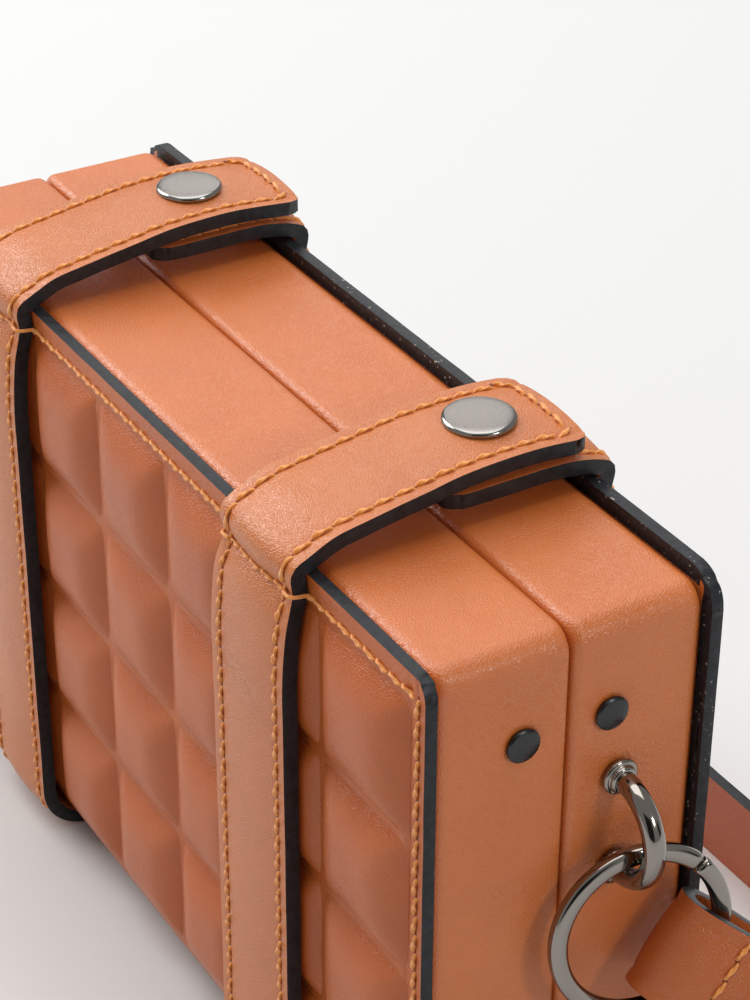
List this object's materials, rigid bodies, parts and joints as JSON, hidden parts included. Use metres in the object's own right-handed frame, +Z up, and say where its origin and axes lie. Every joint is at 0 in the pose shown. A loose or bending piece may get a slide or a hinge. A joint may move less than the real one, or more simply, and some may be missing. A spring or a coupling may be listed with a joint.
{
  "type": "box bag",
  "caption": "Small hard box bag of two leather half boxes with a quilted front, two snap straps over the top, end rings and a short leather shoulder strap.",
  "frame": {"origin": "on the ground at the middle of the whole part's footprint, which holds the box and the strap lying behind it", "axes": "+X along the bag to the end that the picture shows, -Y out of the quilted front, +Z up"},
  "size_m": [0.3216, 0.1204, 0.1359],
  "materials": {
    "leather": "satin",
    "quilted_leather": "satin",
    "strap_leather": "satin",
    "satin_nickel": "satin",
    "black_nickel": "polished",
    "gunmetal": "polished"
  },
  "bodies": {
    "back_half": {"back_half_box": "leather", "back_panel": "leather", "back_tab_left": "strap_leather", "back_tab_right": "strap_leather", "snap_stud_left": "black_nickel", "snap_stud_right": "black_nickel", "end_rivet_back_left": "black_nickel", "end_rivet_back_right": "black_nickel", "ring_bail_left": "gunmetal", "ring_bail_right": "gunmetal", "ring_body_left": "gunmetal", "ring_body_right": "gunmetal", "ring_gate_left": "gunmetal", "ring_gate_right": "gunmetal", "shoulder_strap": "strap_leather", "hinge_leaf_back": "black_nickel", "hinge_pin": "black_nickel"},
    "front_half": {"front_half_box": "leather", "front_panel": "quilted_leather", "front_strap_left": "strap_leather", "front_strap_right": "strap_leather", "snap_cap_left": "satin_nickel", "snap_cap_right": "satin_nickel", "end_rivet_front_left": "black_nickel", "end_rivet_front_right": "black_nickel", "hinge_leaf_front": "black_nickel"}
  },
  "joints": [
    {"name": "case_hinge", "type": "hinge", "parent": "back_half", "child": "front_half", "pos_m": [0, -0.02653, 0.0039], "axis": [1, 0, 0], "range_deg": [0, 75]}
  ]
}
